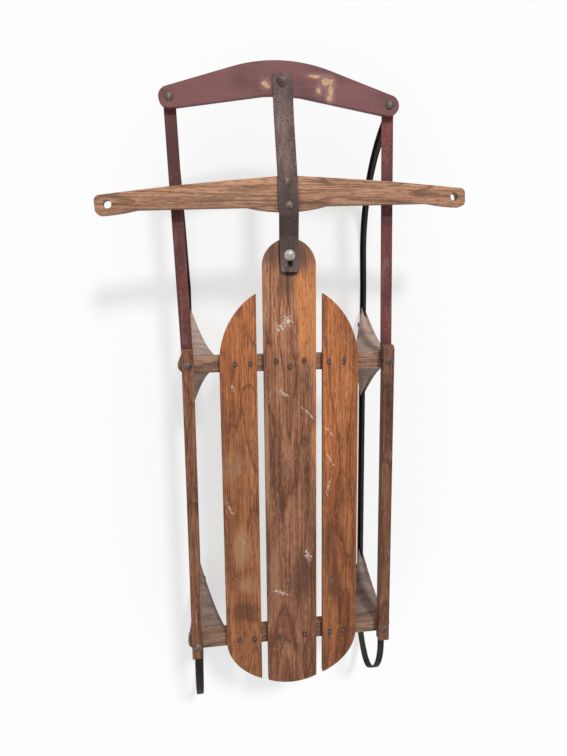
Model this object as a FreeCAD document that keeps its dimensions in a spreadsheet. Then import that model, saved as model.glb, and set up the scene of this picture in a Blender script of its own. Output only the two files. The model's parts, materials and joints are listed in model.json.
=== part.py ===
"""A steerable wooden sled, as a parametric FreeCAD document.

The slatted deck lies on two crossbars. Four pressed knees carry the crossbars on two steel runners,
whose tails loop up to the side rails. In front, a steering bar turns on a pin in the centre slat, under
a wooden handle. It pushes the bumper sideways, which two struts tie to the rails' bolts, and the bumper
bends the fronts of the runners.

Axes: +Z up from the ground, front at -Y, and the origin on the ground at the middle of the sled's box.
Places along the sled are distances behind the steering pin, so those in front of it are negative.
"""
import FreeCAD, Part
import Sketcher
import math
import os
from types import SimpleNamespace

from FreeCAD import Placement, Rotation, Vector

SIZES = [
    ("deck_height", 153.0, "ground to the top of the deck"),
    ("slat_thickness", 11.0, "deck slats"),
    ("centre_slat_width", 88.9, "centre slat"),
    ("side_slat_width", 62.3, "outer slats"),
    ("slat_gap", 11.6, "between two slats"),
    ("nose_reach", 27.7, "centre slat's nose, ahead of the pin"),
    ("centre_tail_overhang", 83.0, "centre slat's tail corners, behind the rear bolts"),
    ("tail_bulge", 9.0, "bulge of the centre slat's tail edge"),
    ("front_round_length", 131.5, "deck's rounded front, ahead of the front bolts"),
    ("rear_round_length", 90.0, "deck's rounded rear, behind the rear bolts"),
    ("front_crossbar_place", 177.0, "front crossbar, behind the pin"),
    ("crossbar_spacing", 499.0, "front crossbar to rear crossbar"),
    ("crossbar_overhang", 17.0, "crossbars, beyond the rail bolts"),
    ("crossbar_width", 28.0, "crossbars, along the sled"),
    ("crossbar_thickness", 19.0, "crossbars"),
    ("rail_spacing", 340.0, "rail bolts, side to side"),
    ("rail_width", 19.0, "side rails"),
    ("rail_thickness", 16.0, "side rails"),
    ("rail_front_overhang", 27.0, "side rails, ahead of the front bolts"),
    ("rail_rear_overhang", 22.0, "side rails, behind the rear bolts"),
    ("rail_bevel", 6.0, "bevel on the rails' front ends"),
    ("strap_thickness", 3.0, "struts, runner ends and runner treads"),
    ("strut_width", 19.05, "struts"),
    ("bolt_shank", 6.4, "bolts and rivets, shank diameter"),
    ("bolt_head", 14.4, "rail bolts and rivets, head diameter"),
    ("bolt_head_rise", 3.8, "rail bolts and rivets, head height"),
    ("nut_size", 11.0, "nuts, across flats"),
    ("nut_thickness", 4.5, "nuts"),
    ("running_clearance", 0.1, "radial, at every pivot and bolt hole"),
    ("bumper_rivet_clearance", 2.0, "radial, in the strut and runner holes at the bumper"),
    ("bumper_spacing", 349.0, "rivets at the ends of the bumper"),
    ("bumper_place", 236.5, "bumper's end rivets, ahead of the pin"),
    ("bumper_thickness", 9.5, "bumper board"),
    ("bumper_end_radius", 16.0, "bumper board, round its end rivets"),
    ("bumper_front_rise", 59.5, "bumper's front edge at its middle, ahead of its rivets"),
    ("bumper_rear_rise", 8.5, "bumper's rear edge at its middle, ahead of its rivets"),
    ("bumper_front_arc", 80.0, "half width of the arc in the bumper's front edge"),
    ("bumper_front_sag", 12.8, "depth of that arc"),
    ("bumper_rear_arc", 30.0, "half width of the arc in the bumper's rear edge"),
    ("bumper_rear_sag", 1.2, "depth of that arc"),
    ("bumper_front_slope", 18.3, "slope of the bumper's front edge towards its ends, in degrees"),
    ("bumper_rear_slope", 9.4, "slope of the bumper's rear edge towards its ends, in degrees"),
    ("bumper_bolt_head", 19.5, "bumper's centre bolt, head diameter"),
    ("bumper_bolt_rise", 5.0, "bumper's centre bolt, head height"),
    ("bar_width", 31.75, "steering bar"),
    ("bar_thickness", 3.2, "steering bar"),
    ("bar_reach", 265.0, "steering bar, pin to bumper bolt"),
    ("bar_front_overhang", 12.0, "steering bar, ahead of the bumper bolt"),
    ("bar_tail", 27.0, "steering bar, behind the pin"),
    ("bar_corner", 6.0, "steering bar, corner radius"),
    ("bar_front_ramp", 86.5, "length of the bar's rise to the handle"),
    ("bar_ramp_gap", 6.0, "between the handle and each ramp of the bar"),
    ("bar_rear_ramp_end", 30.0, "end of the drop to the deck, ahead of the pin"),
    ("bar_bend", 14.0, "bend radius of the steering bar"),
    ("bar_deck_gap", 2.0, "steering bar above the deck: the pin's collar"),
    ("slot_tail", 19.0, "keyhole slot, behind the pin"),
    ("slot_front", 6.0, "keyhole slot, ahead of the pin"),
    ("slot_play", 1.0, "keyhole slot, wider than the bolts' shank"),
    ("pin_head", 18.0, "steering pin's head"),
    ("pin_head_rise", 4.0, "steering pin's head"),
    ("handle_thickness", 14.0, "steering handle"),
    ("handle_deck_drop", 2.0, "underside of the handle, below the top of the deck"),
    ("handle_place", 85.0, "line of the rope holes, ahead of the pin"),
    ("rope_spacing", 558.0, "rope holes in the handle"),
    ("rope_hole", 12.7, "rope holes in the handle"),
    ("handle_length", 596.0, "handle, with its round ends"),
    ("grip_depth", 30.0, "handle at its grips, front to rear"),
    ("grip_offset", 1.1, "middle of the grips, behind the rope holes"),
    ("handle_corner", 9.0, "round corners of the handle's ends"),
    ("handle_front_rise", 37.5, "handle's front edge at its middle, ahead of the rope holes"),
    ("crown_half_width", 30.0, "rounded crown in the middle of the handle's front edge"),
    ("crown_rise", 35.9, "front edge where that crown ends, ahead of the rope holes"),
    ("front_edge_rise", 26.7, "front edge halfway from the crown to the handle's end"),
    ("handle_rear_rise", 9.0, "handle's rear edge, behind the rope holes"),
    ("grip_heel", 235.0, "where the handle's rear edge bends to the grips"),
    ("grip_heel_depth", 13.7, "handle's rear edge halfway from there to its end"),
    ("belly_half_width", 66.0, "bulge in the middle of the handle's rear edge"),
    ("belly_depth", 17.0, "rear of that bulge, behind the rope holes"),
    ("handle_rivet_front", 27.4, "front handle rivet, ahead of the rope holes"),
    ("handle_rivet_rear", 8.4, "rear handle rivet, behind the rope holes"),
    ("tread_width", 12.0, "runners, at the ground"),
    ("web_thickness", 3.0, "runners, the upright web"),
    ("web_depth", 15.0, "runners, the web above the tread"),
    ("web_fade", 30.0, "length over which the web tapers out at a runner's ends"),
    ("split_place", 50.0, "flexing point of the runners, behind the pin"),
    ("split_gap", 3.0, "between the two parts of a runner"),
    ("prow_straight", 8.7, "straight stretch of the runner's front below its end"),
    ("prow_slope", 63.5, "slope of the runner's front below its end, in degrees"),
    ("prow_bend", 5.0, "bend radius of the runner's front end"),
    ("prow_bend_setback", 13.0, "bend in the runner's front end, behind the bumper rivet"),
    ("prow_eye", 19.0, "runner's front end, round the bumper rivet"),
    ("tail_overhang_left", 156.0, "rear of the left tail loop, behind the rear bolts"),
    ("tail_overhang_right", 140.0, "rear of the right tail loop, which is bent in a little"),
    ("tail_corner_height", 62.0, "height of the tail loops' rearmost point"),
    ("tail_slope", 55.0, "slopes of the tail loop below and above that point, in degrees"),
    ("tail_rise_radius", 88.0, "curve at the foot of the tail loop"),
    ("tail_corner_radius", 38.0, "curve at the rear of the tail loop"),
    ("tail_top_radius", 100.0, "curve at the head of the tail loop"),
    ("tail_drawn_height", 153.0, "deck height that the last five sizes, bar the slope, are for"),
    ("tail_eye", 16.0, "runner's rear end, round the rail bolt"),
    ("knee_foot_length", 204.0, "knees, along the runner"),
    ("knee_foot_rise", 1.0, "knees above the tread"),
    ("knee_sheet", 1.6, "sheet of the knees"),
    ("knee_inner_reach", 52.0, "knees at the crossbar, from the runner's line towards the deck"),
    ("knee_outer_reach", 15.0, "knees at the crossbar, from the runner's line outwards"),
    ("knee_top_depth", 30.0, "knees at the crossbar, along the sled"),
    ("knee_flare", 0.8, "power by which the knees widen across with height"),
    ("knee_taper", 1.7, "power by which the knees shorten with height"),
    ("rest_turn", 2.0, "steering bar as it rests, in degrees towards the rider's left"),
]


# Sections in the loft of a knee, less one.
KNEE_STEPS = 8

# How far a round corner's middle lies inside its square, as a share of its radius.
CORNER_CUT = 1 - math.sqrt(0.5)


class Size:
    """A number together with the expression that gives it from the sheet."""

    def __init__(self, value, text):
        self.value = float(value)
        self.text = text

    def __add__(self, other):
        other = as_size(other)
        return Size(self.value + other.value, f"({self.text} + {other.text})")

    def __sub__(self, other):
        other = as_size(other)
        return Size(self.value - other.value, f"({self.text} - {other.text})")

    def __mul__(self, other):
        other = as_size(other)
        return Size(self.value * other.value, f"({self.text} * {other.text})")

    def __truediv__(self, other):
        other = as_size(other)
        return Size(self.value / other.value, f"({self.text} / {other.text})")

    def __neg__(self):
        return Size(-self.value, f"(0 - {self.text})")

    def __radd__(self, other):
        return as_size(other) + self

    def __rsub__(self, other):
        return as_size(other) - self

    def __rmul__(self, other):
        return as_size(other) * self

    def __float__(self):
        return self.value


def as_size(number):
    return number if isinstance(number, Size) else Size(number, repr(float(number)))


def sin(angle):
    return Size(math.sin(math.radians(angle.value)), f"sin({angle.text})")


def cos(angle):
    return Size(math.cos(math.radians(angle.value)), f"cos({angle.text})")


def angle_of(across, along):
    """The angle, in degrees, whose tangent is across over along."""
    ratio = across / along
    return Size(math.degrees(math.atan(ratio.value)), f"atan({ratio.text})")


def make_sheet(doc):
    sheet = doc.addObject("Spreadsheet::Sheet", "sizes")
    for row, (alias, value, meaning) in enumerate(SIZES, start=1):
        sheet.set(f"A{row}", meaning)
        sheet.set(f"B{row}", str(value))
        sheet.setAlias(f"B{row}", alias)
    doc.recompute()
    return SimpleNamespace(**{alias: Size(value, f"sizes.{alias}") for alias, value, _ in SIZES})


def derive(size):
    """Places and levels that several pieces share, worked out from the sheet."""
    size.deck_top = size.deck_height
    size.crossbar_top = size.deck_top - size.slat_thickness
    size.crossbar_bottom = size.crossbar_top - size.crossbar_thickness
    size.strap_top = size.crossbar_top + size.strap_thickness
    size.rail_top = size.strap_top + size.rail_thickness
    size.bumper_top = size.strap_top + size.bumper_thickness
    size.handle_bottom = size.deck_top - size.handle_deck_drop
    size.handle_top = size.handle_bottom + size.handle_thickness
    size.rear_crossbar_place = size.front_crossbar_place + size.crossbar_spacing
    size.centre_tail = size.rear_crossbar_place + size.centre_tail_overhang
    size.tail_reach_left = size.rear_crossbar_place + size.tail_overhang_left
    size.tail_reach_right = size.rear_crossbar_place + size.tail_overhang_right
    size.tail_scale = size.deck_height / size.tail_drawn_height
    size.tail_corner = size.tail_corner_height * size.tail_scale
    size.tail_foot_curve = size.tail_rise_radius * size.tail_scale
    size.tail_rear_curve = size.tail_corner_radius * size.tail_scale
    size.tail_head_curve = size.tail_top_radius * size.tail_scale
    size.slot_width = size.bolt_shank + size.slot_play
    size.half_rail = size.rail_spacing / 2
    size.half_bumper = size.bumper_spacing / 2
    size.deck_half_width = size.centre_slat_width / 2 + size.slat_gap + size.side_slat_width
    front_end = size.bumper_place + size.bumper_front_rise
    size.pin_y = (front_end - size.tail_reach_left) / 2
    size.hole = size.bolt_shank / 2 + size.running_clearance
    size.loose_hole = size.bolt_shank / 2 + size.bumper_rivet_clearance
    size.turn_x = size.bar_reach * sin(size.rest_turn)
    size.turn_y = size.bar_reach - size.bar_reach * cos(size.rest_turn)
    size.splay = size.half_bumper - size.half_rail
    size.web_top = size.strap_thickness + size.web_depth


# ---- helpers -------------------------------------------------------------------------------------


def place(obj, x=0, y=0, z=0, turn=None):
    """Put the object at a place given in sizes, turned about the vertical."""
    x, y, z = as_size(x), as_size(y), as_size(z)
    angle = 0.0 if turn is None else turn.value
    obj.Placement = Placement(Vector(x.value, y.value, z.value), Rotation(Vector(0, 0, 1), angle))
    for axis, number in zip("xyz", (x, y, z)):
        obj.setExpression(f"Placement.Base.{axis}", number.text)
    if turn is not None:
        obj.setExpression("Placement.Rotation.Angle", turn.text)


def set_sizes(obj, **properties):
    for name, number in properties.items():
        number = as_size(number)
        setattr(obj, name, number.value)
        obj.setExpression(name, number.text)


def new_body(doc, name):
    body = doc.addObject("PartDesign::Body", name)
    body.Label = name
    return body


def new_sketch(body, role, name):
    sketch = body.newObject("Sketcher::SketchObject", name)
    plane = next(item for item in body.Origin.OriginFeatures if item.Role == role)
    sketch.AttachmentSupport = [(plane, "")]
    sketch.MapMode = "FlatFace"
    return sketch


def pin_point(sketch, geometry, end, point):
    """Fix one point of a sketch at a pair of sizes."""
    for kind, number in zip(("DistanceX", "DistanceY"), point):
        index = sketch.addConstraint(Sketcher.Constraint(kind, -1, 1, geometry, end, number.value))
        sketch.setExpression(f"Constraints[{index}]", number.text)


def outline(sketch, start, *steps):
    """A closed outline. A step is the next corner, or an arc's middle point and its end."""
    start = tuple(as_size(number) for number in start)
    here, first, last = start, None, None
    for step in steps:
        points = step if isinstance(step[0], tuple) else (step,)
        points = [tuple(as_size(number) for number in point) for point in points]
        vectors = [Vector(x.value, y.value, 0) for x, y in [here, *points]]
        curve = Part.Arc(*vectors) if len(points) == 2 else Part.LineSegment(*vectors)
        index = sketch.addGeometry(curve)
        # An arc is stored counterclockwise, so its first point may be either end.
        begin, end = (1, 2)
        if len(points) == 2 and (sketch.getPoint(index, 1) - vectors[0]).Length > 1e-6:
            begin, end = (2, 1)
        if first is None:
            first = (index, begin)
            pin_point(sketch, index, begin, here)
        else:
            sketch.addConstraint(Sketcher.Constraint("Coincident", *last, index, begin))
        if step is steps[-1]:
            sketch.addConstraint(Sketcher.Constraint("Coincident", index, end, *first))
        else:
            pin_point(sketch, index, end, points[-1])
        if len(points) == 2:
            middle = sketch.addGeometry(Part.Point(vectors[1]), True)
            pin_point(sketch, middle, 1, points[0])
            sketch.addConstraint(Sketcher.Constraint("PointOnObject", middle, 1, index))
        here, last = points[-1], (index, end)


def circle(sketch, x, y, radius):
    x, y, radius = as_size(x), as_size(y), as_size(radius)
    index = sketch.addGeometry(Part.Circle(Vector(x.value, y.value, 0), Vector(0, 0, 1), radius.value))
    pin_point(sketch, index, 3, (x, y))
    number = sketch.addConstraint(Sketcher.Constraint("Radius", index, radius.value))
    sketch.setExpression(f"Constraints[{number}]", radius.text)


def pad(body, sketch, length, centred=False):
    feature = body.newObject("PartDesign::Pad", f"{body.Name}_pad")
    feature.Profile = sketch
    set_sizes(feature, Length=length)
    if centred:
        feature.SideType = "Symmetric"
    sketch.Visibility = False
    return feature


def drill(doc, body, holes):
    """Round holes through the whole body along Z, each given as x, y and radius."""
    doc.recompute()
    before = body.Shape.Volume
    sketch = new_sketch(body, "XY_Plane", f"{body.Name}_holes")
    for hole in holes:
        circle(sketch, *hole)
    pocket = body.newObject("PartDesign::Pocket", f"{body.Name}_pocket")
    pocket.Profile = sketch
    pocket.Type = "ThroughAll"
    pocket.SideType = "Symmetric"
    doc.recompute()
    if body.Shape.Volume >= before - 1:
        raise ValueError(f"{body.Label}: its holes cut nothing")


def mirrored_pair(build, doc, size, name):
    """A piece on each side: the rider's left is +X."""
    return [build(doc, size, f"{name}_left", 1), build(doc, size, f"{name}_right", -1)]


# ---- deck ----------------------------------------------------------------------------------------


def centre_slat(doc, size):
    body = new_body(doc, "deck_slat_centre")
    half = size.centre_slat_width / 2
    shoulder = half - size.nose_reach
    sketch = new_sketch(body, "XY_Plane", "centre_slat_outline")
    outline(
        sketch,
        (-half, shoulder),
        ((0, -size.nose_reach), (half, shoulder)),
        (half, size.centre_tail),
        ((0, size.centre_tail + size.tail_bulge), (-half, size.centre_tail)),
        (-half, shoulder),
    )
    pad(body, sketch, size.slat_thickness)
    drill(doc, body, [(0, 0, size.hole)])
    place(body, y=size.pin_y, z=size.crossbar_top)
    return body


def ellipse_prism(doc, size, name, place_y, length):
    """An upright elliptic prism as wide as the deck and as thick as its slats."""
    curve = doc.addObject("Part::Ellipse", f"{name}_curve")
    wide_first = length.value < size.deck_half_width.value
    major, minor = (size.deck_half_width, length) if wide_first else (length, size.deck_half_width)
    set_sizes(curve, MajorRadius=major, MinorRadius=minor)
    place(curve, turn=as_size(0 if wide_first else 90))
    prism = doc.addObject("Part::Extrusion", f"{name}_prism")
    prism.Base = curve
    prism.DirMode = "Custom"
    prism.Dir = Vector(0, 0, 1)
    prism.Solid = True
    set_sizes(prism, LengthFwd=size.slat_thickness)
    place(prism, y=place_y)
    return prism


def deck_outline(doc, size):
    """The deck's whole outline as one prism: a half ellipse at each end and straight sides."""
    front = ellipse_prism(doc, size, "front_round", size.front_crossbar_place, size.front_round_length)
    rear = ellipse_prism(doc, size, "rear_round", size.rear_crossbar_place, size.rear_round_length)
    middle = doc.addObject("Part::Box", "deck_middle")
    set_sizes(
        middle,
        Length=2 * size.deck_half_width,
        Width=size.crossbar_spacing,
        Height=size.slat_thickness,
    )
    place(middle, x=-size.deck_half_width, y=size.front_crossbar_place)
    whole = doc.addObject("Part::MultiFuse", "deck_outline")
    whole.Shapes = [front, middle, rear]
    return whole


def side_slat(doc, size, name, side):
    inner = size.deck_half_width - size.side_slat_width
    start = size.front_crossbar_place - size.front_round_length
    strip = doc.addObject("Part::Box", f"{name}_strip")
    set_sizes(
        strip,
        Length=size.side_slat_width,
        Width=size.rear_crossbar_place + size.rear_round_length - start,
        Height=size.slat_thickness,
    )
    place(strip, x=inner if side > 0 else -size.deck_half_width, y=start)
    slat = doc.addObject("Part::Common", name)
    slat.Base = strip
    slat.Tool = doc.getObject("deck_outline")
    slat.Label = name
    place(slat, y=size.pin_y, z=size.crossbar_top)
    return slat


def crossbar(doc, size, name, place_y):
    body = new_body(doc, name)
    radius = size.crossbar_width / 2
    flank = size.half_rail + size.crossbar_overhang - radius
    sketch = new_sketch(body, "XY_Plane", f"{name}_outline")
    outline(
        sketch,
        (-flank, -radius),
        (flank, -radius),
        ((flank + radius, 0), (flank, radius)),
        (-flank, radius),
        ((-flank - radius, 0), (-flank, -radius)),
    )
    pad(body, sketch, size.crossbar_thickness)
    drill(doc, body, [(size.half_rail, 0, size.hole), (-size.half_rail, 0, size.hole)])
    place(body, y=size.pin_y + place_y, z=size.crossbar_bottom)
    return body


def side_rail(doc, size, name, side):
    """A rail with its front end bevelled, drawn from the side and as long as its two bolts need."""
    body = new_body(doc, name)
    front = -size.rail_front_overhang
    rear = size.crossbar_spacing + size.rail_rear_overhang
    top = size.rail_thickness
    sketch = new_sketch(body, "YZ_Plane", f"{name}_profile")
    outline(
        sketch,
        (front, 0),
        (rear, 0),
        (rear, top),
        (front + size.rail_bevel, top),
        (front, top - size.rail_bevel),
        (front, 0),
    )
    pad(body, sketch, size.rail_width, centred=True)
    drill(doc, body, [(0, 0, size.hole), (0, size.crossbar_spacing, size.hole)])
    place(body, x=side * size.half_rail, y=size.pin_y + size.front_crossbar_place, z=size.strap_top)
    return body


# ---- bolts, rivets and the pin -------------------------------------------------------------------


def domed_pin(radius, bottom, seat, head_radius, rise, foot=None):
    """A shank from bottom to seat under a domed head, with a nut or a second head as its foot.

    The foot is given as its own radius and thickness, and lies below the shank's clamped length.
    """
    shank = Part.makeCylinder(radius, seat - bottom + rise / 2, Vector(0, 0, bottom))
    ball = (head_radius**2 + rise**2) / (2 * rise)
    head = Part.makeSphere(ball, Vector(0, 0, seat + rise - ball))
    slab = Part.makeCylinder(head_radius, rise, Vector(0, 0, seat))
    solid = shank.fuse(head.common(slab))
    if foot:
        foot_radius, thickness = foot
        solid = solid.fuse(Part.makeCylinder(foot_radius, thickness, Vector(0, 0, bottom - thickness)))
    return solid.removeSplitter()


def feature(doc, name, shape, x=0, y=0, z=0, turn=None):
    """A shape that is not built from sketches, placed by sizes."""
    obj = doc.addObject("Part::Feature", name)
    obj.Shape = shape
    obj.Label = name
    place(obj, x, y, z, turn)
    return obj


def rail_bolts(doc, size):
    """Four bolts through rail, strap, crossbar and knee, with a nut under the knee's top."""
    bottom = size.crossbar_bottom - size.knee_sheet
    bolt = domed_pin(
        size.bolt_shank.value / 2,
        bottom.value,
        size.rail_top.value,
        size.bolt_head.value / 2,
        size.bolt_head_rise.value,
        foot=(size.nut_size.value / 2, size.nut_thickness.value),
    )
    places = [
        Vector(side * size.half_rail.value, place_y.value, 0)
        for side in (1, -1)
        for place_y in (size.front_crossbar_place, size.rear_crossbar_place)
    ]
    bolts = [moved(bolt, spot) for spot in places]
    return feature(doc, "rail_bolts", Part.makeCompound(bolts), y=size.pin_y)


def moved(shape, offset):
    copy = shape.copy()
    copy.translate(offset)
    return copy


def steering_pin(doc, size):
    """The pin in the centre slat: a collar under the bar, a neck in its slot and a head over it."""
    neck = size.slot_width.value / 2 - size.running_clearance.value
    collar_top = size.deck_top.value + size.bar_deck_gap.value
    seat = collar_top + size.bar_thickness.value + size.running_clearance.value
    pin = domed_pin(
        size.bolt_shank.value / 2,
        size.crossbar_top.value,
        seat,
        size.pin_head.value / 2,
        size.pin_head_rise.value,
        foot=(size.bolt_head.value / 2, size.bolt_head_rise.value),
    )
    collar = Part.makeCylinder(
        size.pin_head.value / 2, size.bar_deck_gap.value, Vector(0, 0, size.deck_top.value)
    )
    sleeve = Part.makeCylinder(neck, seat - collar_top + 1, Vector(0, 0, collar_top))
    return feature(doc, "steering_pin", pin.fuse([collar, sleeve]).removeSplitter(), y=size.pin_y)


# ---- bent strips ---------------------------------------------------------------------------------


def rounded_path(points, radii):
    """Edges of a path in the YZ plane with each inner corner rounded to its radius."""
    vectors = [Vector(0, y, z) for y, z in points]
    edges, here = [], vectors[0]
    for corner, before, after, radius in zip(vectors[1:-1], vectors, vectors[2:], radii):
        back = (before - corner).normalize()
        ahead = (after - corner).normalize()
        half = back.getAngle(ahead) / 2
        reach = radius / math.tan(half)
        bisector = (back + ahead).normalize()
        middle = corner + bisector * (radius / math.sin(half) - radius)
        edges.append(Part.LineSegment(here, corner + back * reach).toShape())
        edges.append(Part.Arc(corner + back * reach, middle, corner + ahead * reach).toShape())
        here = corner + ahead * reach
    edges.append(Part.LineSegment(here, vectors[-1]).toShape())
    return edges


def offset_points(points, distance):
    """The path's corners after every run is shifted to its left by the distance."""
    runs = list(zip(points, points[1:]))
    lines = []
    for (y0, z0), (y1, z1) in runs:
        length = math.hypot(y1 - y0, z1 - z0)
        normal = (-(z1 - z0) / length, (y1 - y0) / length)
        lines.append((normal, normal[0] * y0 + normal[1] * z0 + distance))
    (y0, z0), (yn, zn) = points[0], points[-1]
    first, last = lines[0][0], lines[-1][0]
    result = [(y0 + first[0] * distance, z0 + first[1] * distance)]
    for (a, c), (b, d) in zip(lines, lines[1:]):
        scale = a[0] * b[1] - a[1] * b[0]
        result.append(((c * b[1] - d * a[1]) / scale, (a[0] * d - b[0] * c) / scale))
    result.append((yn + last[0] * distance, zn + last[1] * distance))
    return result


def bent_strip(points, radii, low, high, width):
    """A strip of the given width that follows a path, from low to high on the path's left.

    A radius is positive where the path turns left, and negative where it turns right.
    """
    sides = []
    for distance in (low, high):
        inner = [abs(r) - distance if r > 0 else abs(r) + distance for r in radii]
        sides.append(rounded_path(offset_points(points, distance), inner))
    ends = []
    for pick in (0, -1):
        a = sides[0][pick].Vertexes[pick].Point
        b = sides[1][pick].Vertexes[pick].Point
        ends.append(Part.LineSegment(a, b).toShape())
    wire = Part.Wire(Part.__sortEdges__(sides[0] + sides[1] + ends))
    solid = Part.Face(wire).extrude(Vector(width, 0, 0))
    solid.translate(Vector(-width / 2, 0, 0))
    return solid


def hole_cutter(x, y, radius, bottom, top):
    return Part.makeCylinder(radius, top - bottom, Vector(x, y, bottom))


# ---- steering ------------------------------------------------------------------------------------


def steering_bar(doc, size):
    """The steel strip: flat on the bumper, up over the handle and down to the pin's collar."""
    front = -(size.bar_reach + size.bar_front_overhang).value
    handle_front = -(size.handle_place + size.handle_front_rise + size.bar_ramp_gap).value
    ramp_start = handle_front - size.bar_front_ramp.value
    handle_rear = -(size.handle_place - size.belly_depth - size.bar_ramp_gap).value
    low = (size.deck_top + size.bar_deck_gap).value
    high = size.handle_top.value
    path = [
        (front, size.bumper_top.value),
        (ramp_start, size.bumper_top.value),
        (handle_front, high),
        (handle_rear, high),
        (-size.bar_rear_ramp_end.value, low),
        (size.bar_tail.value, low),
    ]
    bend, width = size.bar_bend.value, size.bar_width.value
    strip = bent_strip(path, [bend, -bend, -bend, bend], 0, size.bar_thickness.value, width)
    length = size.bar_tail.value - front
    plan = Part.makeBox(width, length, high, Vector(-width / 2, front, low / 2))
    upright = [edge for edge in plan.Edges if abs(edge.tangentAt(edge.FirstParameter).z) > 0.9]
    strip = strip.common(plan.makeFillet(size.bar_corner.value, upright))
    bottom, top = low / 2, low * 2
    rivets = (size.handle_rivet_front, -size.handle_rivet_rear)
    spots = [size.bar_reach.value] + [(size.handle_place + spot).value for spot in rivets]
    cutters = [hole_cutter(0, -spot, size.hole.value, bottom, top) for spot in spots]
    slot = size.slot_width.value / 2
    slot_ends = (slot - size.slot_front.value, size.slot_tail.value - slot)
    cutters += [hole_cutter(0, end, slot, bottom, top) for end in slot_ends]
    slot_box = Vector(-slot, slot_ends[0], bottom)
    cutters.append(Part.makeBox(2 * slot, slot_ends[1] - slot_ends[0], top - bottom, slot_box))
    bar = strip.cut(cutters).removeSplitter()
    return feature(doc, "steering_bar", bar, y=size.pin_y, turn=size.rest_turn)


def handle(doc, size):
    """The wooden handle, drawn about the middle of the line through its rope holes."""
    body = new_body(doc, "steering_handle")
    end = size.handle_length / 2
    corner = size.handle_corner
    grip_end = end - corner
    front_grip = size.grip_offset - size.grip_depth / 2
    rear_grip = size.grip_offset + size.grip_depth / 2
    cut = corner * CORNER_CUT
    edge_middle = (size.crown_half_width + grip_end) / 2
    heel_middle = (size.grip_heel + grip_end) / 2
    sketch = new_sketch(body, "XY_Plane", "handle_outline")
    outline(
        sketch,
        (-size.crown_half_width, -size.crown_rise),
        ((0, -size.handle_front_rise), (size.crown_half_width, -size.crown_rise)),
        ((edge_middle, -size.front_edge_rise), (grip_end, front_grip)),
        ((end - cut, front_grip + cut), (end, front_grip + corner)),
        (end, rear_grip - corner),
        ((end - cut, rear_grip - cut), (grip_end, rear_grip)),
        ((heel_middle, size.grip_heel_depth), (size.grip_heel, size.handle_rear_rise)),
        (size.belly_half_width, size.handle_rear_rise),
        ((0, size.belly_depth), (-size.belly_half_width, size.handle_rear_rise)),
        (-size.grip_heel, size.handle_rear_rise),
        ((-heel_middle, size.grip_heel_depth), (-grip_end, rear_grip)),
        ((cut - end, rear_grip - cut), (-end, rear_grip - corner)),
        (-end, front_grip + corner),
        ((cut - end, front_grip + cut), (-grip_end, front_grip)),
        ((-edge_middle, -size.front_edge_rise), (-size.crown_half_width, -size.crown_rise)),
    )
    pad(body, sketch, size.handle_thickness)
    rope = size.rope_hole / 2
    half_rope = size.rope_spacing / 2
    drill(doc, body, [
        (half_rope, 0, rope),
        (-half_rope, 0, rope),
        (0, -size.handle_rivet_front, size.hole),
        (0, size.handle_rivet_rear, size.hole),
    ])
    place(
        body,
        x=size.handle_place * sin(size.rest_turn),
        y=size.pin_y - size.handle_place * cos(size.rest_turn),
        z=size.handle_bottom,
        turn=size.rest_turn,
    )
    return body


def handle_rivets(doc, size):
    """The two rivets through bar and handle."""
    rivet = domed_pin(
        size.bolt_shank.value / 2,
        size.handle_bottom.value,
        (size.handle_top + size.bar_thickness).value,
        size.bolt_head.value / 2,
        size.bolt_head_rise.value,
        foot=(size.bolt_head.value / 2, size.bolt_head_rise.value / 2),
    )
    spots = (size.handle_place + size.handle_rivet_front, size.handle_place - size.handle_rivet_rear)
    rivets = [moved(rivet, Vector(0, -spot.value, 0)) for spot in spots]
    return feature(doc, "handle_rivets", Part.makeCompound(rivets), y=size.pin_y, turn=size.rest_turn)


# ---- bumper and struts ---------------------------------------------------------------------------


def bumper(doc, size):
    """The bumper board, drawn about the middle of the line through its end rivets.

    Each long edge is an arc in the middle and runs straight to the round ends, square to their radius.
    """
    body = new_body(doc, "bumper")
    front_mid = -size.bumper_front_rise
    rear_mid = -size.bumper_rear_rise
    front_x = size.half_bumper + size.bumper_end_radius * sin(size.bumper_front_slope)
    front_y = -size.bumper_end_radius * cos(size.bumper_front_slope)
    rear_x = size.half_bumper - size.bumper_end_radius * sin(size.bumper_rear_slope)
    rear_y = size.bumper_end_radius * cos(size.bumper_rear_slope)
    tip = size.half_bumper + size.bumper_end_radius
    front_arc = (size.bumper_front_arc, front_mid + size.bumper_front_sag)
    rear_arc = (size.bumper_rear_arc, rear_mid + size.bumper_rear_sag)
    sketch = new_sketch(body, "XY_Plane", "bumper_outline")
    outline(
        sketch,
        (-front_arc[0], front_arc[1]),
        ((0, front_mid), front_arc),
        (front_x, front_y),
        ((tip, 0), (rear_x, rear_y)),
        rear_arc,
        ((0, rear_mid), (-rear_arc[0], rear_arc[1])),
        (-rear_x, rear_y),
        ((-tip, 0), (-front_x, front_y)),
        (-front_arc[0], front_arc[1]),
    )
    pad(body, sketch, size.bumper_thickness)
    drill(doc, body, [
        (size.half_bumper, 0, size.hole),
        (-size.half_bumper, 0, size.hole),
        (0, size.bumper_place - size.bar_reach, size.hole),
    ])
    place(body, x=size.turn_x, y=size.pin_y - size.bumper_place + size.turn_y, z=size.strap_top)
    return body


def bumper_bolt(doc, size):
    """The pivot bolt through the bar and the middle of the bumper."""
    bolt = domed_pin(
        size.bolt_shank.value / 2,
        size.strap_top.value,
        (size.bumper_top + size.bar_thickness).value,
        size.bumper_bolt_head.value / 2,
        size.bumper_bolt_rise.value,
        foot=(size.nut_size.value / 2, size.nut_thickness.value),
    )
    return feature(doc, "bumper_bolt", bolt, x=size.turn_x, y=size.pin_y - size.bar_reach + size.turn_y)


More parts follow.
